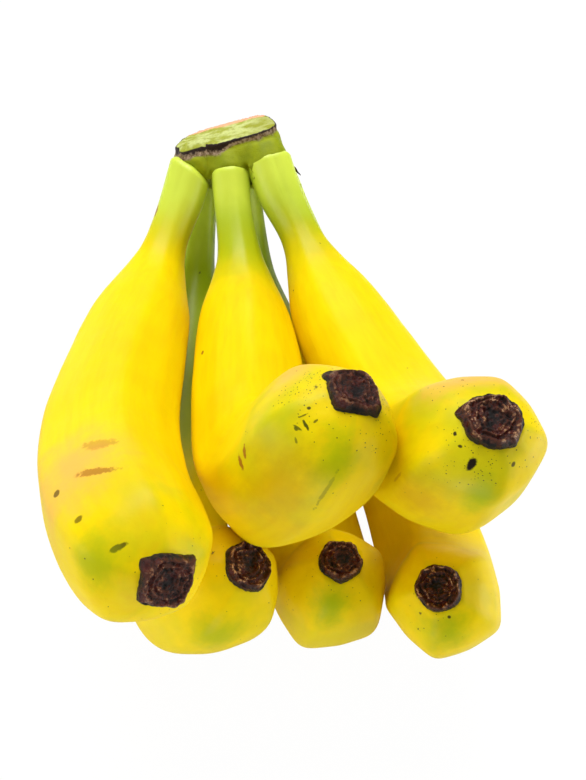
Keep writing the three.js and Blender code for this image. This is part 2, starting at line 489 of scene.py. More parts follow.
# %% [markdown]
# ### Shoulders and tips
# A stalk leaves the crown with a shoulder of its own, some higher and some lower, and the outer stalks are
# fuller on their inner side. The blossom end is seldom quite in the middle of the tip. The CAD has none of
# this, so it is done with small shifts that fade out along the fruit.

# %% Shoulders and tips
ACROSS = np.array([0.983, 0.0, 0.182])  # from the bunch's left to its right
UPWARD = np.array([-0.097, 0.845, 0.525])  # from the tips to the crown, square to ACROSS
STALK_SWELL = {"banana_upper_left": 2.2 * MM, "banana_upper_right": 2.9 * MM}  # on its inner side
ROOTS = {
    # fruit: how far below the crown its shoulder starts in mm, its slant, and mm that it sits to the right
    "banana_upper_left": (0.8, 0.35, 0.0),
    "banana_upper_middle": (1.9, 0.0, -1.3),
    "banana_upper_right": (0.0, 0.0, -1.0),
    "banana_lower_right": (0.0, 0.0, -1.2),
}
NO_ROOT = (0.0, 0.0, 0.0)
TIP_NUDGE = {
    # fruit: how far its blossom end is off the middle, in mm along ACROSS and UPWARD
    "banana_upper_left": (1.0, -0.8),
    "banana_upper_middle": (1.7, 0.6),
    "banana_upper_right": (2.0, -0.9),
    "banana_lower_left": (0.8, 1.6),
    "banana_lower_right": (-0.5, 0.8),
}
# Shares along the fruit between which each shift fades.
SWOLLEN = (0.16, 0.05)
NEAR_TIP = (0.93, 1.0)
SHOULDER = (0.09, 0.0)
STALK_START = (0.2, 0.04)
NECK_RING = 30  # a fine ring that shows which way the stalk runs


def tip_shift(name):
    """How far a fruit's blossom end is moved."""
    sideways, upward = TIP_NUDGE.get(name, (0.0, 0.0))
    return (ACROSS * sideways + UPWARD * upward) * MM


def settled(name, fine, middle, out, along):
    """The skin with its stalk swollen, and with its tip and its shoulder moved."""
    towards_middle = -np.sign(middle[0] @ ACROSS)
    inner_side = np.clip(out @ ACROSS * towards_middle, 0, 1)
    swell = STALK_SWELL.get(name, 0.0) * inner_side * ramp(along, *SWOLLEN)
    fine = fine + out * swell[..., None]
    fine = fine + tip_shift(name) * ramp(along, *NEAR_TIP)[..., None]
    lower, slant, rightward = ROOTS.get(name, NO_ROOT)
    downward = unit(middle[NECK_RING] - middle[0])
    shoulder = lower * MM + slant * ((fine - middle[:, None]) @ ACROSS)
    fine = fine + downward * (shoulder * ramp(along, *SHOULDER))[..., None]
    return fine + ACROSS * rightward * MM * ramp(along, *STALK_START)[..., None]


print("tips moved:", {n: (tip_shift(n) / MM).round(1).tolist() for n in TIP_NUDGE}, "mm")

# %% [markdown]
# ### The skins
# Everything meets here: the rings are filled in, sculpted and settled, and closed at both ends. The distance
# along the finished skin is measured again, so that grain keeps its size wherever the fruit is thick or
# thin. A sharper fruit has harder ridges near its tip.

# %% Build the skins
ROOT_ROUNDING = ((3.3, 0.3), (3.0, 0.55), (2.4, 0.75), (1.6, 0.88), (0.8, 0.96))  # mm inward, share of radius
TIP_ROUNDING = (0.7, 0.05)  # shares of the last ring's radius


def build_skin(name, rings, seed, sharpness):
    """The fine skin of one fruit, and what its scar needs to know."""
    fine = along_filled(round_filled(rings[1:-2]))
    middle = fine.mean(1)
    steps = np.linalg.norm(np.diff(middle, axis=0), axis=1)
    distance = np.concatenate([[0], np.cumsum(steps)])
    along = (distance / distance[-1])[:, None]
    phase = ridge_angle(rings)
    angle = np.arange(AROUND) * 2 * np.pi / AROUND - phase
    out = unit(fine - middle[:, None])
    fine = fine + out * skin_shift(along, angle, seed, sharpness)[..., None]
    fine = settled(name, fine, middle, out, along)
    middle = fine.mean(1)
    radius = np.linalg.norm(fine - middle[:, None], axis=2).mean(1)
    steps = np.linalg.norm(np.diff(fine, axis=0), axis=2).mean(1)
    distance = np.concatenate([[0], np.cumsum(steps)])
    along = (distance / distance[-1])[:, None]
    straight = np.stack(np.broadcast_arrays(
        radius[:, None] * np.cos(angle), radius[:, None] * np.sin(angle), distance[:, None]
    ), axis=-1)
    # The stalk runs on into the crown and closes there, and the tip closes under the scar.
    inward = unit(middle[0] - middle[2])
    root = [middle[0] + inward * r * MM + (fine[0] - middle[0]) * s for r, s in ROOT_ROUNDING]
    tip = [middle[-1] + (fine[-1] - middle[-1]) * s for s in TIP_ROUNDING]
    all_rings = np.concatenate([root, fine, tip])
    at_root, at_tip = np.repeat(straight[:1], len(root), 0), np.repeat(straight[-1:], len(tip), 0)
    spread = np.concatenate([at_root, straight, at_tip])
    alongs = np.concatenate([np.zeros(len(root)), along[:, 0], np.ones(len(tip))])
    faces, uvs = tube_faces(len(all_rings), AROUND)
    skin = mesh_of(name.replace("banana_", "peel_"), all_rings.reshape(-1, 3), faces, uvs)
    add_values(skin.data, "along", np.repeat(alongs, AROUND))
    add_values(skin.data, "straight", spread.reshape(-1, 3), "FLOAT_VECTOR")
    return skin, {"length": distance[-1], "phase": phase, "distance": distance, "radius": radius}


SHARPNESS = {
    # fruit: how hard its ridges are near the tip
    "banana_upper_left": 0.35,
    "banana_upper_middle": 0.35,
    "banana_upper_right": 0.3,
    "banana_lower_left": 0.5,
    "banana_lower_middle": 0.6,
    "banana_lower_right": 0.6,
}
skins, facts = {}, {}
for index, name in enumerate(FRUITS):
    seed = 3.7 * index + 1.3  # its place in the noise, so that no two fruit have the same lumps
    skins[name], facts[name] = build_skin(name, rings_of[name], seed, SHARPNESS[name])
    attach(skins[name], "root")
    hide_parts(name)
    length = round(facts[name]["length"] / MM)
    print(skins[name].name, len(skins[name].data.vertices), "points,", length, "mm")

# %% [markdown]
# ## The peel
# Peel is green at the stalk, where the fruit ripens last, bright yellow on the belly, and green again
# round the tip and along the ridges beside it. It is thick and waxy, with fine lengthwise fibres
# under the wax and small dark specks where sugar gathers. One shader group mixes the ripeness colours,
# one draws bruises and the painted highlights, one the specks and one the relief, and each fruit's
# material gives them its own values, because no two fruit in a bunch ripen alike.

# %% Ripeness group
ripeness, take, give = new_group(
    "ripeness",
    [
        ("Along", "Float", 0.5),
        ("Straight", "Vector", None),
        ("Yellow", "Color", rgb(250, 221, 0)),
        ("Amber", "Color", rgb(236, 186, 8)),
        ("Leaf Green", "Color", rgb(160, 182, 4)),
        ("Lime", "Color", rgb(214, 232, 74)),
        ("Stalk Reach", "Float", 0.2),
        ("Tip Green", "Float", 0.6),
        ("Seed", "Vector", None),
    ],
    [("Color", "Color"), ("Green", "Float")],
)
place = node(ripeness, "ShaderNodeVectorMath", {0: take["Straight"], 1: take["Seed"]}, operation="ADD")
clouds = noise_node(ripeness, place.outputs[0], 45.0, 3.0)
broad = noise_node(ripeness, place.outputs[0], 22.0, 2.0)
stretch = node(
    ripeness, "ShaderNodeVectorMath", {0: place.outputs[0], 1: (1.0, 1.0, 0.12)}, operation="MULTIPLY"
)
fibres = noise_node(ripeness, stretch.outputs[0], 420.0, 3.0)
cut = node(ripeness, "ShaderNodeSeparateXYZ", {0: take["Straight"]})
around = math_node(ripeness, "ARCTAN2", cut.outputs["Y"], cut.outputs["X"])
ridge = math_node(ripeness, "COSINE", math_node(ripeness, "MULTIPLY", around, float(RIDGES)))
drift = math_node(ripeness, "MULTIPLY", math_node(ripeness, "SUBTRACT", clouds, 0.5), 0.12)
shifted = math_node(ripeness, "ADD", take["Along"], drift)
stalk_end = math_node(ripeness, "ADD", take["Stalk Reach"], 0.2)
at_stalk = eased(ripeness, shifted, stalk_end, take["Stalk Reach"])
at_root = eased(ripeness, shifted, 0.17, 0.02)
tip_zone = eased(ripeness, shifted, 0.74, 0.97)
ridge_zone = math_node(ripeness, "MULTIPLY", eased(ripeness, ridge, 0.8, 1.0), 0.22)
tip_patch = math_node(ripeness, "ADD", eased(ripeness, clouds, 0.44, 0.66), ridge_zone, clamp=True)
patchy_tip = math_node(ripeness, "MULTIPLY", tip_zone, tip_patch)
at_tip = math_node(ripeness, "MULTIPLY", patchy_tip, take["Tip Green"], clamp=True)
warm_share = math_node(ripeness, "MULTIPLY", eased(ripeness, broad, 0.45, 0.75), 0.3)
warm = mixed(ripeness, warm_share, take["Yellow"], take["Amber"])
fibre_share = math_node(ripeness, "MULTIPLY", eased(ripeness, fibres, 0.35, 0.75), 0.22)
fibre_tint = mixed(ripeness, fibre_share, warm, take["Amber"])
green = mixed(ripeness, at_root, take["Leaf Green"], take["Lime"])
stalked = mixed(ripeness, at_stalk, fibre_tint, green)
tipped = mixed(ripeness, at_tip, stalked, take["Leaf Green"])
ripeness.links.new(tipped, give["Color"])
ripeness.links.new(math_node(ripeness, "ADD", at_stalk, at_tip, clamp=True), give["Green"])
print("group:", ripeness.name, len(ripeness.nodes), "nodes")

# %% [markdown]
# ### Bruises and painted highlights
# A bruise is a place where the peel was rubbed or pressed and turned brown. It could be painted on an image.
# Here it is an ellipsoid in the space of the straightened fruit, which follows the bend and stays crisp at
# any distance. Noise frays its edge, and Softness says how far it fades inwards. The same mask also draws
# the soft tone patches and the pale peach painted highlight on the lit tops of the tips.

# %% Bruise group
bruise_and_highlight, take, give = new_group(
    "bruise_and_highlight",
    [
        ("Straight", "Vector", None),
        ("Place", "Vector", None),
        ("Turn", "Vector", None),
        ("Reach", "Vector", (0.006, 0.003, 0.01)),
        ("Ragged", "Float", 0.8),
        ("Grain", "Float", 900.0),
        ("Softness", "Float", 0.55),
    ],
    [("Mask", "Float")],
)
inside = node(
    bruise_and_highlight, "ShaderNodeMapping",
    {"Vector": take["Straight"], "Location": take["Place"], "Rotation": take["Turn"], "Scale": take["Reach"]},
    vector_type="TEXTURE",
)
far = node(bruise_and_highlight, "ShaderNodeVectorMath", {0: inside.outputs[0]}, operation="LENGTH").outputs["Value"]
edge_noise = noise_node(bruise_and_highlight, take["Straight"], take["Grain"], 4.0, 0.65)
fray = math_node(bruise_and_highlight, "MULTIPLY", math_node(bruise_and_highlight, "SUBTRACT", edge_noise, 0.5), take["Ragged"])
frayed = math_node(bruise_and_highlight, "ADD", far, fray)
inner = math_node(bruise_and_highlight, "SUBTRACT", 1.0, take["Softness"])
bruise_and_highlight.links.new(eased(bruise_and_highlight, frayed, 1.0, inner), give["Mask"])
print("group:", bruise_and_highlight.name)

# %% [markdown]
# ### Specks
# Ripe peel is dotted with small dark specks, in loose clouds and more thickly round the scar. Small discs
# could be scattered over the skin, but dots this fine are cheaper as a Voronoi texture: each of its cells may
# hold one speck, and the cell's random colour decides whether it does and how large the speck is.

# %% Speck group
specks, take, give = new_group(
    "specks",
    [
        ("Straight", "Vector", None),
        ("Along", "Float", 0.5),
        ("Spacing", "Float", 260.0),
        ("Share", "Float", 0.12),
        ("Size", "Float", 0.16),
    ],
    [("Mask", "Float")],
)
cells = node(specks, "ShaderNodeTexVoronoi", {"Vector": take["Straight"], "Scale": take["Spacing"]})
chosen = node(specks, "ShaderNodeSeparateColor", {0: cells.outputs["Color"]})
crowd = noise_node(specks, take["Straight"], 55.0, 2.0)
clouded = eased(specks, crowd, 0.5, 0.66)
near_scar = eased(specks, take["Along"], 0.93, 0.995)
crowding = math_node(specks, "MULTIPLY_ADD", near_scar, 0.3, clouded)
crowded = math_node(specks, "MULTIPLY", take["Share"], crowding)
kept = math_node(specks, "LESS_THAN", chosen.outputs["Red"], crowded)
own_size = math_node(specks, "ADD", chosen.outputs["Green"], 0.35)
size = math_node(specks, "MULTIPLY", take["Size"], own_size)
torn = noise_node(specks, take["Straight"], 2600.0, 2.0)
tatters = math_node(specks, "MULTIPLY_ADD", torn, 0.5, -0.25)
ragged_distance = math_node(specks, "ADD", cells.outputs["Distance"], tatters)
dot = eased(specks, ragged_distance, size, math_node(specks, "MULTIPLY", size, 0.45))
specks.links.new(math_node(specks, "MULTIPLY", dot, kept), give["Mask"])
print("group:", specks.name)

# %% [markdown]
# ### Relief
# Under the wax there are pores, lengthwise fibres and shallow dimples. They are far too small to sculpt, so
# they are a height for a Bump node, summed from three noises of different sizes. The one for the
# fibres is drawn out along the fruit.

# %% Relief group
relief, take, give = new_group(
    "peel_relief",
    [("Straight", "Vector", None), ("Pores", "Float", 1500.0), ("Fibres", "Float", 0.5)],
    [("Height", "Float")],
)
pores = noise_node(relief, take["Straight"], take["Pores"], 2.0, 0.5)
drawn = node(relief, "ShaderNodeVectorMath", {0: take["Straight"], 1: (1.0, 1.0, 0.07)}, operation="MULTIPLY")
lines = noise_node(relief, drawn.outputs[0], 520.0, 3.0, 0.5)
dimples = noise_node(relief, take["Straight"], 180.0, 2.0, 0.5)
height = math_node(relief, "ADD", math_node(relief, "MULTIPLY", lines, take["Fibres"]), dimples)
height = math_node(relief, "ADD", height, math_node(relief, "MULTIPLY", pores, 0.25))
relief.links.new(height, give["Height"])
print("group:", relief.name)

# %% [markdown]
# ### What each fruit has on it
# Ripeness says how far the stalk's green reaches, how green the tip is, and the fruit's warm tone. A mark is
# given by its share of the fruit's length and its angle round it, so it stays where it is if the
# fruit is bent in another way. Three soft-edged colours are broad changes of tone: pale peach is a painted
# highlight on the lit top of a tip, old gold is a darker gold and tip olive a green. The others are
# scratches and bruises.

# %% Ripeness and marks of each fruit
WAX = 0.5  # how strongly the bloom of wax shows on green peel
BRUISE_BROWN = rgb(160, 92, 22)
BLACKENED = rgb(30, 18, 8)
# Pale peach is a painted highlight: the lit tops of the tips, drawn into the peel's colour.
PAINTED_HIGHLIGHT_PEACH = rgb(250, 188, 84)
OLD_GOLD = rgb(206, 156, 0)
TIP_OLIVE = rgb(166, 184, 0)
# These three colours get soft edges; pale peach among them is a painted highlight.
SOFT_TONES_AND_HIGHLIGHT = (PAINTED_HIGHLIGHT_PEACH, OLD_GOLD, TIP_OLIVE)  # these have no edge of their own

RIPENESS = {
    # fruit: (stalk reach, tip green, amber)
    "banana_upper_left": (0.02, 0.3, rgb(240, 186, 6)),
    "banana_upper_middle": (0.1, 0.48, rgb(226, 176, 4)),
    "banana_upper_right": (0.08, 0.42, rgb(228, 180, 4)),
    "banana_lower_left": (0.5, 0.22, rgb(232, 196, 6)),
    "banana_lower_middle": (0.2, 0.22, rgb(232, 192, 4)),
    "banana_lower_right": (0.2, 0.25, rgb(234, 192, 6)),
}
MARKS = {
    # fruit: (share along, degrees round, length mm, width mm, tilt degrees, ragged, colour, strength)
    "banana_upper_left": [
        # painted highlight on the lit top of the tip
        (0.82, -44, 44, 50, 0, 0.9, PAINTED_HIGHLIGHT_PEACH, 0.9),
        (0.80, -20, 4.5, 11, 35, 1.6, BRUISE_BROWN, 0.4),
        (0.855, -29, 2.8, 13, 35, 1.5, BRUISE_BROWN, 0.7),
        (0.84, -62, 2.8, 2.2, 0, 0.6, BLACKENED, 0.75),
        (0.905, -58, 2.0, 2.4, 0, 0.8, BLACKENED, 0.7),
        (0.965, -53, 1.6, 4.4, 20, 1.4, BLACKENED, 0.85),
        (0.955, -75, 22, 20, 0, 1.0, TIP_OLIVE, 0.7),
        (0.985, 60, 16, 16, 0, 1.0, TIP_OLIVE, 0.4),
        (0.09, -78, 6, 2.4, 0, 1.4, BRUISE_BROWN, 0.8),
    ],
    "banana_upper_middle": [
        # painted highlight on the lit top of the tip
        (0.945, 62, 18, 26, 0, 0.9, PAINTED_HIGHLIGHT_PEACH, 0.9),
        (0.884, -5, 1.3, 4.2, 40, 1.0, BRUISE_BROWN, 0.95),
        (0.868, -8, 1.5, 4.6, 30, 1.1, BRUISE_BROWN, 0.95),
        (0.963, -23, 0.8, 3.4, 14, 1.7, BLACKENED, 0.95),
        (0.955, -20, 0.6, 2.6, -12, 1.7, BLACKENED, 0.85),
        (0.968, -14, 2.2, 0.5, 10, 1.6, BLACKENED, 0.8),
        (0.973, -27, 1.4, 0.6, 0, 1.6, BLACKENED, 0.8),
        (0.945, -28, 0.6, 1.8, 25, 1.6, BLACKENED, 0.75),
        (0.918, -71, 14, 1.0, 0, 2.4, BLACKENED, 0.4),
        (0.953, -20, 0.8, 1.2, 0, 0.8, BLACKENED, 0.9),
        (0.977, -10, 0.9, 0.9, 0, 0.8, BLACKENED, 0.9),
        (0.42, 14, 2.4, 1.3, 0, 0.8, BRUISE_BROWN, 0.9),
        (0.955, -64, 28, 13, 0, 1.1, TIP_OLIVE, 0.75),
        (0.93, -20, 26, 22, 0, 1.1, TIP_OLIVE, 0.35),
        (0.885, -38, 36, 28, 0, 1.0, OLD_GOLD, 0.6),
    ],
    "banana_upper_right": [
        # painted highlight on the lit top of the tip
        (0.955, -112, 15, 40, 0, 0.9, PAINTED_HIGHLIGHT_PEACH, 0.95),
        (0.977, 33, 4.0, 2.4, 0, 0.9, BLACKENED, 1.0),
        (0.98, 86, 1.2, 1.4, 0, 0.8, BLACKENED, 0.85),
        (0.989, -13, 1.0, 1.2, 0, 0.8, BLACKENED, 0.95),
        (0.987, 8, 0.9, 1.1, 0, 1.2, BLACKENED, 0.9),
        (0.891, -4, 7, 1.0, 4, 1.3, BRUISE_BROWN, 0.5),
        (0.945, 58, 22, 11, 0, 1.0, TIP_OLIVE, 0.85),
        (0.93, 10, 16, 14, 0, 1.0, TIP_OLIVE, 0.45),
        (0.895, 18, 32, 26, 0, 1.0, OLD_GOLD, 0.6),
    ],
    "banana_lower_left": [
        (0.94, 11, 22, 22, 0, 1.0, TIP_OLIVE, 0.7),
    ],
    "banana_lower_middle": [
        (0.975, -8, 24, 16, 0, 1.0, TIP_OLIVE, 0.9),
    ],
    "banana_lower_right": [
        (0.972, 20, 22, 20, 0, 1.0, TIP_OLIVE, 0.8),
        (0.992, 29, 1.2, 1.2, 0, 0.5, BLACKENED, 0.9),
    ],
}
PEPPER = {
    # fruit: share of the fine specks round its tip
    "banana_upper_left": 0.1,
    "banana_upper_middle": 0.8,
    "banana_upper_right": 0.5,
    "banana_lower_left": 0.06,
    "banana_lower_middle": 0.1,
    "banana_lower_right": 0.06,
}

print("marks:", {name: len(marks) for name, marks in MARKS.items()})

# %% [markdown]
# ### The peels
# Each fruit has a material of its own, since no two carry the same bruises. It lays the groups over
# one another from the bottom up: ripeness, then every mark, then specks and pepper. The bloom of wax is a
# coat that is there only where the peel is green, and its gloss varies in patches.

# %% Peel materials
MARK_DEPTH = 12 * MM  # how deep a mark's ellipsoid reaches
SOFT_EDGE = {"Grain": 140.0, "Softness": 1.0}
CRISP_EDGE = {"Grain": 900.0, "Softness": 0.4}
SPECK_STRENGTH = 0.85
PEPPER_LOOK = {"Spacing": 1500.0, "Size": 0.27}
WAX_ROUGHNESS = 0.38
PEEL_GLOSS = {"To Min": 0.34, "To Max": 0.52}
PEEL_BUMP = {"Strength": 0.25, "Distance": 0.6 * MM}
PEEL_SPECULAR = 0.1


def peel_material(name, index):
    """The peel of one fruit, with its own ripeness and marks."""
    material, tree, shader = new_material(name.replace("banana_", "peel_of_"))
    straight = stored(tree, "straight", "Vector")
    along = stored(tree, "along")
    reach, tip_green, amber = RIPENESS[name]
    base = grouped(tree, ripeness, {
        "Along": along, "Straight": straight, "Stalk Reach": reach,
        "Tip Green": tip_green, "Amber": amber, "Seed": (index * SEED_STEP,) * 3,
    })
    colour = base["Color"]
    for share, degrees, length, width, tilt, ragged, mark_colour, strength in MARKS[name]:
        angle = math.radians(degrees)
        distance = share * facts[name]["length"]
        radius = np.interp(distance, facts[name]["distance"], facts[name]["radius"])
        centre = (radius * math.cos(angle), radius * math.sin(angle), distance)
        mark = grouped(tree, bruise_and_highlight, {
            "Straight": straight, "Place": centre, "Turn": (math.radians(tilt), 0, angle),
            "Reach": (MARK_DEPTH, width * MM / 2, length * MM / 2), "Ragged": ragged,
            **(SOFT_EDGE if mark_colour in SOFT_TONES_AND_HIGHLIGHT else CRISP_EDGE),
        })
        # A pale peach mark paints a highlight into the colour; the other marks are the peel's own.
        colour = mixed(tree, math_node(tree, "MULTIPLY", mark["Mask"], strength), colour, mark_colour)
    dots = grouped(tree, specks, {"Straight": straight, "Along": along})
    colour = mixed(tree, math_node(tree, "MULTIPLY", dots["Mask"], SPECK_STRENGTH), colour, BLACKENED)
    pepper = grouped(tree, specks, {
        "Straight": straight, "Along": along, "Share": PEPPER[name], **PEPPER_LOOK,
    })["Mask"]
    at_tip = eased(tree, along, 0.8, 0.93)
    colour = mixed(tree, math_node(tree, "MULTIPLY", pepper, at_tip), colour, BLACKENED)
    tree.links.new(colour, shader.inputs["Base Color"])
    height = grouped(tree, relief, {"Straight": straight})["Height"]
    bump = node(tree, "ShaderNodeBump", {"Height": height, **PEEL_BUMP})
    tree.links.new(bump.outputs["Normal"], shader.inputs["Normal"])
    tree.links.new(math_node(tree, "MULTIPLY", base["Green"], WAX), shader.inputs["Coat Weight"])
    shader.inputs["Coat Roughness"].default_value = WAX_ROUGHNESS
    waxy = noise_node(tree, straight, 90.0, 3.0)
    gloss = node(tree, "ShaderNodeMapRange", {"Value": waxy, **PEEL_GLOSS})
    tree.links.new(gloss.outputs["Result"], shader.inputs["Roughness"])
    shader.inputs["Specular IOR Level"].default_value = PEEL_SPECULAR
    return material


for index, name in enumerate(FRUITS):
    skins[name].data.materials.append(peel_material(name, index))
    print("material:", skins[name].data.materials[0].name)

# %% [markdown]
# ## Blossom scars
# At each tip is the short dry stump where the flower broke off. It is dead tissue that shrank as it
# dried: a ragged rim with four or five weak corners, rings inside it like a tiny tree stump, and a pit in
# the middle. It could be cut from a cylinder with booleans, but a round grid whose height is a sum of
# soft rings and noise gives a wrinkled surface without a single straight edge.

# %% Scar sizes and helpers
SCAR_COLUMNS = 160
SCAR_TOP = 1.7 * MM  # the rim's height above the last ring of the skin
TOP_RINGS, SKIRT_RINGS = 46, 8
FLARE_WIDTH = 0.24  # radians
SKIRT_FOOT = -2.6  # mm, the skirt's lowest edge, inside the tip
WOOD_RINGS = ((0.87, 0.7, 0.07), (0.62, 0.5, 0.05), (0.4, 0.3, 0.05))  # share of radius, mm high, width
PIT = (0.8, 0.2)  # mm deep, width
SCAR_LOOKS = {
    # fruit: (radius mm, corners, how cornered, turn degrees, flares {degrees: mm}, tan share)
    "banana_upper_left": (6.4, 4, 0.05, 5, {-14: 1.6, 101: 1.9, 150: 0.7, 267: 0.9}, 0.35),
    "banana_upper_middle": (6.3, 4, 0.07, 20, {20: 1.6, 110: 1.1, 198: 0.6}, 0.3),
    "banana_upper_right": (6.5, 5, 0.03, 0, {-47: 1.9, 182: 1.6, 99: 0.8}, 0.7),
    "banana_lower_left": (6.6, 5, 0.02, 0, {20: 0.5}, 0.8),
    "banana_lower_middle": (6.1, 5, 0.03, 30, {180: 0.5}, 0.5),
    "banana_lower_right": (6.3, 5, 0.02, 50, {}, 0.9),
}


def bell(value, middle, width):
    """1 in the middle, falling away on both sides."""
    return np.exp(-(((value - middle) / width) ** 2))


def noise_at(points, scale, shift=0.0):
    """Smooth noise from -1 to 1 at each point, with lumps of the given size."""
    flat = np.asarray(points).reshape(-1, 3) / scale + shift
    return np.array([noise.noise(p) for p in flat]).reshape(np.shape(points)[:-1])


def tip_frame(rings):
    """The middle of the skin's last ring, and three directions: to column 0, across it, and outward."""
    low, rim = rings[-3].mean(0), rings[-2].mean(0)
    axis = unit(rim - low)
    first = rings[-3][0] - low
    first = unit(first - axis * (first @ axis))
    quarter = rings[-3][len(rings[-3]) // 4] - low
    second = unit(quarter - axis * (quarter @ axis) - first * (quarter @ first))
    return low, first, second, axis


print("scar radii:", {name: look[0] for name, look in SCAR_LOOKS.items()}, "mm")

# %% [markdown]
# ### Build the scars
# The outline is a circle with weak corners and a few flares, where scraps of the flower's base stand out.
# Inside it the height is summed from the rings, the pit and crumbs of three sizes. Past the rim a skirt
# turns down into the fruit's tip, so that no gap shows round the scar.

# %% Build the scars
def build_scar(name, seed):
    """One fruit's blossom scar, with the values that its material reads."""
    radius, corners, cornered, turn, flares, _ = SCAR_LOOKS[name]
    low, first, second, axis = tip_frame(rings_of[name])
    low = low + tip_shift(name)
    theta = np.arange(SCAR_COLUMNS) * 2 * np.pi / SCAR_COLUMNS
    circle = np.stack([np.cos(theta), np.sin(theta), np.full(SCAR_COLUMNS, seed)], 1)
    outline = radius * (1 + cornered * np.cos(corners * (theta - math.radians(turn))))
    outline = outline * (1 + 0.05 * noise_at(circle, 0.45) + 0.025 * noise_at(circle, 0.12))
    tabs = np.zeros(SCAR_COLUMNS)
    for degrees, reach in flares.items():
        off = (theta - math.radians(degrees) + np.pi) % (2 * np.pi) - np.pi
        tabs += reach * bell(off, 0, FLARE_WIDTH)
    inner, outer = np.linspace(0.015, 1, TOP_RINGS), np.linspace(1.02, 1.09, SKIRT_RINGS)
    share = np.concatenate([inner, outer])[:, None]
    top = share <= 1
    skirt = np.clip((share - 1) / 0.09, 0, 1)
    reach = outline[None] * np.minimum(share, 1 + 0.35 * (share - 1)) + tabs[None] * ramp(share, 0.8, 1.05)
    flat = np.stack([reach * np.cos(theta), reach * np.sin(theta), np.zeros_like(reach)], -1) * MM
    wander = 0.11 * noise_at(flat, 2.4 * MM, seed)
    rings = share + wander
    rise = sum(high * bell(rings, at, width) for at, high, width in WOOD_RINGS)
    rise -= PIT[0] * bell(rings, 0.0, PIT[1]) + 0.7 * ramp(rings, 0.92, 1.02)
    crumbs = 0.5 * noise_at(flat, 1.7 * MM, seed) + 0.3 * noise_at(flat, 0.7 * MM, seed + 5)
    crumbs += 0.35 * np.abs(noise_at(flat, 1.0 * MM, seed + 9))
    height = SCAR_TOP / MM + (rise + crumbs) * (0.4 + 0.6 * ramp(share, 0, 0.3))
    rim = height[TOP_RINGS - 1]
    height = np.where(top, height, rim + (SKIRT_FOOT - rim) * skirt + 0.25 * crumbs)
    height = height - tabs[None] * 0.9 * ramp(share, 0.75, 1.0)
    local = np.stack([flat[..., 0], flat[..., 1], height * MM], -1)
    points = low + local[..., :1] * first + local[..., 1:2] * second + local[..., 2:] * axis
    faces, uvs = tube_faces(len(share), SCAR_COLUMNS)
    faces.append(tuple(range(SCAR_COLUMNS))[::-1])
    uvs += [(c / SCAR_COLUMNS, 0.0) for c in range(SCAR_COLUMNS)][::-1]
    label = name.replace("banana_", "scar_")
    scar = mesh_of(label, points.reshape(-1, 3), faces, uvs)
    # crest is how high a point stands; the dried tissue colours paint shade in the low places and glints on
    # the crests from it
    crest = np.clip(0.42 + 0.42 * rise + 0.55 * crumbs, 0, 1)
    add_values(scar.data, "crest", crest.ravel())
    add_values(scar.data, "rim_share", np.broadcast_to(share, crest.shape).ravel())
    add_values(scar.data, "spot", local.reshape(-1, 3), "FLOAT_VECTOR")
    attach(scar, "root")
    return scar


scars = {name: build_scar(name, 2.3 + 1.9 * i) for i, name in enumerate(FRUITS)}
print("scars:", [len(s.data.polygons) for s in scars.values()], "faces")

# %% [markdown]
# ### Dried tissue
# Dried banana tissue is dark brown with tan flecks. The colour is nearly black where a point lies deep,
# partly the tissue's own dark and partly painted shade in the hollows, and tan on the crests, partly the
# tissue's own tan and partly painted glints. It is woody but has a shine where sap dried on it. The group
# mixes those colours from how high a point stands, and it is shared by the scars and the dry flake.

# %% Dried tissue material
dried, take, give = new_group(
    "dried_tissue",
    [("Spot", "Vector", None), ("Crest", "Float", 0.5), ("Tan Share", "Float", 0.5), ("Rim", "Float", 0.5)],
    [("Color", "Color"), ("Shine", "Float"), ("Height", "Float")],
)
fine = noise_node(dried, take["Spot"], 1700.0, 5.0, 0.8)
patch = noise_node(dried, take["Spot"], 420.0, 2.0)
lit = math_node(dried, "ADD", take["Crest"], math_node(dried, "MULTIPLY_ADD", fine, 2.0, -1.0))
# Darker where low: partly the tissue's own dark brown, partly painted shade in the hollows.
brown = mixed(dried, eased(dried, lit, 0.3, 0.75), rgb(10, 5, 3), rgb(84, 38, 18))
reddish = math_node(dried, "MULTIPLY", eased(dried, patch, 0.45, 0.65), 0.4)
core = mixed(dried, reddish, brown, rgb(104, 28, 16))
tan_patch = math_node(dried, "MULTIPLY", eased(dried, patch, 0.46, 0.56), take["Tan Share"])
# Tan flecks on the crests: partly the tissue's own tan, partly painted glints.
tan_and_glint = math_node(dried, "MULTIPLY", eased(dried, lit, 0.68, 0.86), tan_patch)
tanned = mixed(dried, tan_and_glint, core, rgb(222, 172, 122))
# Past the rim the skirt is made nearly black.
skirt_darkened = mixed(dried, math_node(dried, "MULTIPLY", take["Rim"], 0.8), tanned, rgb(14, 8, 5))
dried.links.new(skirt_darkened, give["Color"])
dried.links.new(eased(dried, patch, 0.35, 0.65), give["Shine"])
dried.links.new(math_node(dried, "MULTIPLY_ADD", fine, 0.7, patch), give["Height"])


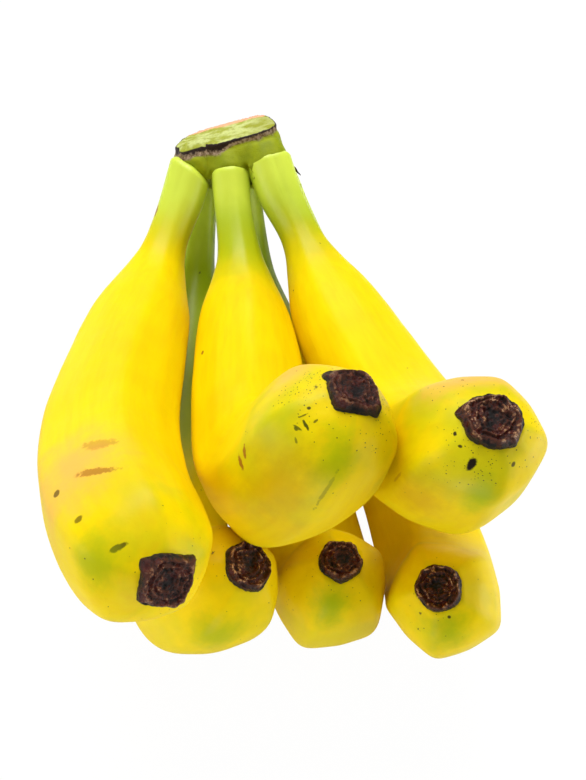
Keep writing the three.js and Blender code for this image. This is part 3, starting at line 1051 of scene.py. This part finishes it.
def dried_material(name, spot, crest, tan_share, rim=None):
    """Dried tissue as a material."""
    material, tree, shader = new_material(name)
    place = stored(tree, spot, "Vector")
    high = stored(tree, crest)
    inputs = {"Spot": place, "Crest": high, "Tan Share": tan_share, "Rim": 0.0}
    if rim:
        edge = stored(tree, rim)
        inputs["Rim"] = eased(tree, edge, 0.98, 1.05)
    made = grouped(tree, dried, inputs)
    shader.inputs["Specular IOR Level"].default_value = 0.3
    tree.links.new(made["Color"], shader.inputs["Base Color"])
    gloss = node(tree, "ShaderNodeMapRange", {"Value": made["Shine"], "To Min": 0.55, "To Max": 0.2})
    tree.links.new(gloss.outputs["Result"], shader.inputs["Roughness"])
    bump = node(tree, "ShaderNodeBump", {"Height": made["Height"], "Strength": 0.8, "Distance": 0.0006})
    tree.links.new(bump.outputs["Normal"], shader.inputs["Normal"])
    return material


for name, scar in scars.items():
    tan_share = SCAR_LOOKS[name][-1]
    scar.data.materials.append(dried_material(scar.name + "_wood", "spot", "crest", tan_share, "rim_share"))
print("materials:", [s.data.materials[0].name for s in scars.values()])

# %% [markdown]
# ## The crown
# The stalks are not plugged into the crown, they grow out of it, and webs of peel run between neighbours.
# So the CAD block and a sleeve round each stalk are melted into one body by remeshing and smoothing.
# The sleeves end just under the peel, which hides the join.

# %% Sleeves round the stalks
VOXEL = 0.5 * MM
SLEEVE = {
    # distance along the stalk mm: radius mm
    -7: 5.6, -3: 6.6, -0.5: 7.1, 2: 6.9, 5: 6.4, 9: 6.0,
}
SLEEVE_SIDES = 48


def stalk_line(name):
    """The stalk's middle line from its root, as distances and points."""
    middle = rings_of[name][1:12].mean(1)
    distance = np.concatenate([[0], np.cumsum(np.linalg.norm(np.diff(middle, axis=0), axis=1))])
    return distance, middle


def stalk_place(name, distance):
    """Points of the stalk's middle line; before the root it runs on straight."""
    known, middle = stalk_line(name)
    place = np.stack([np.interp(distance, known, middle[:, k]) for k in range(3)], -1)
    back = unit(middle[0] - middle[1])
    return place + np.clip(-np.asarray(distance), 0, None)[..., None] * back


def add_sleeve(mesh, name):
    """A closed sleeve round one stalk's root."""
    stations = np.array(list(SLEEVE)) * MM
    radii = np.array(list(SLEEVE.values())) * MM
    middle = stalk_place(name, stations) + ACROSS * ROOTS.get(name, NO_ROOT)[2] * MM
    forward = unit(middle[-1] - middle[0])
    side = unit(np.cross(forward, (0.3, 0.2, 0.9)))
    other = np.cross(forward, side)
    theta = np.arange(SLEEVE_SIDES) * 2 * np.pi / SLEEVE_SIDES
    circle = np.cos(theta)[:, None] * side + np.sin(theta)[:, None] * other
    towards_middle = -np.sign(middle[0] @ ACROSS)
    fuller = STALK_SWELL.get(name, 0.0) * np.clip(circle @ ACROSS * towards_middle, 0, 1)
    rings = []
    for m, r in zip(middle, radii):
        rings.append([mesh.verts.new(m + (r + f) * c) for c, f in zip(circle, fuller)])
    for low, high in zip(rings, rings[1:]):
        for c in range(SLEEVE_SIDES):
            d = (c + 1) % SLEEVE_SIDES
            mesh.faces.new((low[c], low[d], high[d], high[c]))
    mesh.faces.new(rings[0][::-1])
    mesh.faces.new(rings[-1])


print("a sleeve has", len(SLEEVE), "rings, from", min(SLEEVE), "to", max(SLEEVE), "mm along its stalk")

# %% [markdown]
# ### Melt the crown together
# A boolean union would leave a sharp seam where a stalk meets the block. Remeshing makes one skin of small
# even squares instead, and each round of smoothing melts the seams a little more. A real crown is less
# square than the block, so its left front is to be drawn up and inward, and its right side inward.

# %% Melt the crown together
SMOOTHING_ROUNDS = 7
LEFT_FRONT_PULL = ACROSS * 2.4 + UPWARD * 2.2  # mm
RIGHT_SIDE_PULL = ACROSS * 0.9  # mm


def remeshed(mesh, name):
    """The mesh remade as one skin of even small squares."""
    data = bpy.data.meshes.new(name)
    mesh.to_mesh(data)
    mesh.free()
    made = bpy.data.objects.new(name, data)
    bpy.context.collection.objects.link(made)
    change = made.modifiers.new("melt", "REMESH")
    change.mode = "VOXEL"
    change.voxel_size = VOXEL
    depsgraph = bpy.context.evaluated_depsgraph_get()
    melted = bpy.data.meshes.new_from_object(made.evaluated_get(depsgraph))
    made.modifiers.clear()
    made.data = melted
    return made


def smoothed(points, edges, rounds, share=0.5):
    """Each point moved towards its neighbours' average, a number of times."""
    count = np.bincount(edges.ravel(), minlength=len(points))[:, None]
    for _ in range(rounds):
        total = np.zeros_like(points)
        np.add.at(total, edges[:, 0], points[edges[:, 1]])
        np.add.at(total, edges[:, 1], points[edges[:, 0]])
        points = points + share * (total / count - points)
    return points


crown_mesh = bmesh.new()
crown_mesh.from_mesh(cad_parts["crown"].data)
bmesh.ops.remove_doubles(crown_mesh, verts=crown_mesh.verts, dist=WELD)
crown_mesh.normal_update()
flats = {}
for face in crown_mesh.faces:
    key = tuple(round(c, 2) for c in face.normal)
    area, spot = flats.get(key, (0.0, None))
    flats[key] = (area + face.calc_area(), np.array(face.calc_center_median()))
away_from_fruit = unit(CROWN_CENTRE - np.mean([rings_of[n].mean((0, 1)) for n in FRUITS], axis=0))
cut_key = max(flats, key=lambda k: flats[k][0] * (np.dot(k, away_from_fruit) > 0.3))
cut_normal, cut_spot = unit(np.array(cut_key)), flats[cut_key][1]
for name in FRUITS:
    add_sleeve(crown_mesh, name)
crown = remeshed(crown_mesh, "crown_body")
crown_points = np.array([v.co[:] for v in crown.data.vertices])
crown_edges = np.array([e.vertices[:] for e in crown.data.edges])
crown_points = smoothed(crown_points, crown_edges, SMOOTHING_ROUNDS)
FRONT = np.cross(ACROSS, UPWARD)  # out of the bunch, towards the upper row
cut_middle = CROWN_CENTRE + cut_normal * ((cut_spot - CROWN_CENTRE) @ cut_normal)
from_middle = crown_points - cut_middle
below = (cut_spot - crown_points) @ cut_normal
left_front = ramp(-(from_middle @ ACROSS), 4 * MM, 14 * MM) * ramp(from_middle @ FRONT, -6 * MM, 10 * MM)
left_front *= ramp(below, 16 * MM, 5 * MM)
right_side = ramp(from_middle @ ACROSS, 8 * MM, 18 * MM)
right_side *= ramp(below, 3 * MM, 11 * MM)
pull = LEFT_FRONT_PULL * MM * left_front[:, None] - RIGHT_SIDE_PULL * MM * right_side[:, None]
print("crown:", len(crown_points), "points, cut faces", cut_normal.round(2))

# %% [markdown]
# ### Where each point lies
# Each point of the crown finds its nearest stalk and its place along and round it. The peel's colour can
# then run on from the stalk over the crown's shoulders without a seam.

# %% Find the nearest stalk
def seen_from_stalks(points):
    """For each point: its nearest fruit's number, distance along and off that stalk, and angle round it."""
    best = np.full(len(points), np.inf)
    results = np.zeros((len(points), 4))
    for index, name in enumerate(FRUITS):
        known, middle = stalk_line(name)
        axis = unit(middle[4] - middle[0])
        offset = points - middle[0]
        distance = offset @ axis
        radial = points - stalk_place(name, distance)
        radial = radial - (radial @ axis)[:, None] * axis
        off = np.linalg.norm(radial, axis=1)
        first = unit(rings_of[name][1][0] - middle[0])
        first = unit(first - axis * (first @ axis))
        quarter = rings_of[name][1][5] - middle[0]
        second = unit(quarter - axis * (quarter @ axis) - first * (quarter @ first))
        angle = np.arctan2(radial @ second, radial @ first) - facts[name]["phase"]
        nearer = off < best
        best = np.where(nearer, off, best)
        found = np.stack([np.full(len(points), index), distance, off, angle], 1)
        results = np.where(nearer[:, None], found, results)
    return results


nearest, distance, off, angle = seen_from_stalks(crown_points).T
print("points nearest to each fruit:", np.bincount(nearest.astype(int)).tolist())

# %% [markdown]
# ### The crown's cut
# The knife left a slanted face. It is fibrous and sinks in a little as it dries, while its rim turns outward
# and the band under it shrinks. Between the stalks the crown draws back, so that each stalk stands out.

# %% Sculpt the crown
RIM_LIFT = 0.45 * MM
BAND_SHRINK = 0.4 * MM
STALK_GROOVE = 1.5 * MM  # how far the crown draws back between the stalks
DISH_DEPTH = 0.6 * MM


def put_points(data, points):
    """Moves a mesh's vertices to the given points."""
    for v, p in zip(data.vertices, points):
        v.co = p
    data.update()


put_points(crown.data, crown_points)
outward = np.array([n.vector[:] for n in crown.data.vertex_normals])

on_face = ramp(outward @ cut_normal, 0.45, 0.8) * ramp(below, 2.5 * MM, 0.5 * MM)
lumps = 0.25 * noise_at(crown_points, 7 * MM) + 0.05 * noise_at(crown_points, 2 * MM, 3.0)
fibre = 0.16 * noise_at(crown_points, 0.9 * MM, 7.0)
rim = bell(below, 0.9 * MM, 0.8 * MM) * (1 - on_face)
shrunk = bell(below, 2.8 * MM, 0.9 * MM) * (1 - on_face)
rim_waves = 0.6 + 0.8 * np.abs(noise_at(crown_points, 2.2 * MM, 11.0))
shift = (lumps * (1 - on_face) + fibre * on_face * 1.6) * MM
shift -= STALK_GROOVE * ramp(distance, 0.5 * MM, 4.0 * MM)
shift += RIM_LIFT * rim * rim_waves - BAND_SHRINK * shrunk * rim_waves
crown_points = crown_points + outward * shift[:, None]
dish = on_face * (0.5 + 0.7 * noise_at(crown_points, 5 * MM, 2.0)) * DISH_DEPTH
crown_points = crown_points - cut_normal * dish[:, None] + pull
crown.data.polygons.foreach_set("use_smooth", [True] * len(crown.data.polygons))
put_points(crown.data, crown_points)

add_values(crown.data, "below_cut", below)
add_values(crown.data, "on_face", on_face)
add_values(crown.data, "rightward", (crown_points - cut_middle) @ ACROSS)
add_values(crown.data, "frontward", (crown_points - cut_middle) @ FRONT)
on_stalk = ramp(off, 11 * MM, 9.6 * MM) * ramp(distance, 2 * MM, 9 * MM) * 0.6
add_values(crown.data, "on_stalk", on_stalk)
lengths = np.array([facts[n]["length"] for n in FRUITS])[nearest.astype(int)]
add_values(crown.data, "along", np.clip(distance / lengths, 0, 1))
straight = np.stack([off * np.cos(angle), off * np.sin(angle), distance], 1)
straight += nearest[:, None] * SEED_STEP
add_values(crown.data, "straight", straight, "FLOAT_VECTOR")
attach(crown, "root")
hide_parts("crown")
print("crown:", len(crown.data.polygons), "faces; on the cut", int((on_face > 0.5).sum()))

# %% [markdown]
# ### Crown materials
# Fresh crown is lime green, and over its shoulders the stalks' own peel runs on. The cut is paler, the
# colour of celery, and turns olive at its right and peach at its back. Under the rim the skin dries to
# a grey-brown band with a dark line.

# %% Crown material
# Where each colour starts and where it is full, measured from the cut, or from the crown's middle.
GREY_BAND = (3.4 * MM, 2.2 * MM)
DARK_LINE = (1.8 * MM, 1.0 * MM)
PEACH_BACK = (-10.5 * MM, -12.5 * MM)
PEACH_UNDER = (4.0 * MM, 2.0 * MM)

crown_material, tree, shader = new_material("crown_rind")
where = node(tree, "ShaderNodeTexCoord").outputs["Object"]
face_share = stored(tree, "on_face")
under = stored(tree, "below_cut")
stalky = stored(tree, "on_stalk")
straight_at = stored(tree, "straight", "Vector")
along_at = stored(tree, "along")
blotch = noise_node(tree, where, 160.0, 3.0)
grain = noise_node(tree, where, 900.0, 4.0, 0.65)
rind = mixed(tree, eased(tree, blotch, 0.3, 0.7), rgb(136, 150, 8), rgb(162, 172, 18))
rind = mixed(tree, math_node(tree, "MULTIPLY", grain, 0.25), rind, rgb(104, 116, 14))
peel = grouped(tree, ripeness, {
    "Along": along_at, "Straight": straight_at, "Stalk Reach": 0.1, "Tip Green": 0.0,
})["Color"]
rind = mixed(tree, stalky, rind, peel)
ragged = math_node(tree, "ADD", under, math_node(tree, "MULTIPLY_ADD", blotch, 0.004, -0.002))
ragged = math_node(tree, "ADD", ragged, math_node(tree, "MULTIPLY_ADD", grain, 0.0012, -0.0006))
rightward = stored(tree, "rightward")
frontward = stored(tree, "frontward")
drier = math_node(tree, "MULTIPLY", eased(tree, rightward, 0.006, -0.008), 0.0014)
band_edge = math_node(tree, "SUBTRACT", ragged, drier)
band = eased(tree, band_edge, *GREY_BAND)
greyed = mixed(tree, eased(tree, grain, 0.4, 0.6), rgb(96, 66, 52), rgb(166, 138, 118))
rind = mixed(tree, math_node(tree, "MULTIPLY", band, 0.9), rind, greyed)
dark_line = math_node(tree, "MULTIPLY", eased(tree, band_edge, *DARK_LINE), 0.96)
rind = mixed(tree, dark_line, rind, rgb(34, 20, 16))
flesh = mixed(tree, eased(tree, blotch, 0.42, 0.6), rgb(206, 214, 130), rgb(166, 172, 52))
flesh = mixed(tree, math_node(tree, "MULTIPLY", eased(tree, grain, 0.5, 0.72), 0.5), flesh, rgb(120, 118, 40))
off_right = eased(tree, math_node(tree, "MULTIPLY_ADD", blotch, 0.012, rightward), 0.016, 0.009)
flesh = mixed(tree, math_node(tree, "MULTIPLY_ADD", off_right, -0.4, 0.4), flesh, rgb(150, 150, 30))
colour = mixed(tree, eased(tree, face_share, 0.35, 0.6), rind, flesh)
at_back = eased(tree, frontward, *PEACH_BACK)
peach = math_node(tree, "MULTIPLY", at_back, eased(tree, under, *PEACH_UNDER))
colour = mixed(tree, math_node(tree, "MULTIPLY", peach, 0.9), colour, rgb(248, 176, 138))
tree.links.new(colour, shader.inputs["Base Color"])
gloss = node(tree, "ShaderNodeMapRange", {"Value": blotch, "To Min": 0.4, "To Max": 0.62})
tree.links.new(gloss.outputs["Result"], shader.inputs["Roughness"])
height = math_node(tree, "MULTIPLY_ADD", grain, 0.6, noise_node(tree, where, 2400.0, 2.0))
bump = node(tree, "ShaderNodeBump", {"Height": height, "Strength": 0.3, "Distance": 0.0006})
tree.links.new(bump.outputs["Normal"], shader.inputs["Normal"])
shader.inputs["Specular IOR Level"].default_value = 0.16
crown.data.materials.append(crown_material)
print("material:", crown_material.name)

# %% [markdown]
# ## The dry flake
# A sliver of the old sheath still clings to the crown's side. It dried long ago, so it is dark, thin and
# warped, with a torn edge. The CAD strip is divided finely and then warped with noise.

# %% Flake
FLAKE_SHIFT = Vector(ACROSS * -1.7 * MM)  # closer to the crown, which is narrower than its CAD block
WARPS = ((0.45 * MM, 2.4 * MM, 4.0), (0.2 * MM, 0.8 * MM, 8.0))  # height, size of lumps, place in the noise
flake_mesh = bmesh.new()
flake_mesh.from_mesh(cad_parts["dry_flake"].data)
bmesh.ops.remove_doubles(flake_mesh, verts=flake_mesh.verts, dist=WELD)
bmesh.ops.subdivide_edges(flake_mesh, edges=flake_mesh.edges, cuts=4, use_grid_fill=True, smooth=0.3)
flake_mesh.normal_update()
flake_points = np.array([v.co[:] for v in flake_mesh.verts])
middle = flake_points.mean(0)
warp = sum(high * noise_at(flake_points, size, shift) for high, size, shift in WARPS)
for v, w in zip(flake_mesh.verts, warp):
    v.co += v.normal * float(w) + FLAKE_SHIFT
flake_data = bpy.data.meshes.new("dry_sliver")
flake_mesh.to_mesh(flake_data)
flake_mesh.free()
flake = bpy.data.objects.new("dry_sliver", flake_data)
bpy.context.collection.objects.link(flake)
flake_data.polygons.foreach_set("use_smooth", [True] * len(flake_data.polygons))
# crest is how high a point of the flake stands; the dried tissue colours paint shade low and glints high from
# it
add_values(flake_data, "crest", np.clip(0.35 + warp / MM, 0, 1))
add_values(flake_data, "spot", flake_points - middle, "FLOAT_VECTOR")
flake_data.materials.append(dried_material("dry_sliver_wood", "spot", "crest", 0.2))
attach(flake, "root")
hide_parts("dry_flake")
print("flake:", len(flake_data.polygons), "faces")

# %% [markdown]
# ## Print the size and finish
# The visual model stands in for the CAD model, so it has to be as large. Both boxes are printed one above the
# other, to be compared.

# %% Finish
new_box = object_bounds()
for label, box in (("CAD:", cad_box), ("visual:", new_box)):
    print(label, [[round(x, 4) for x in corner] for corner in box])
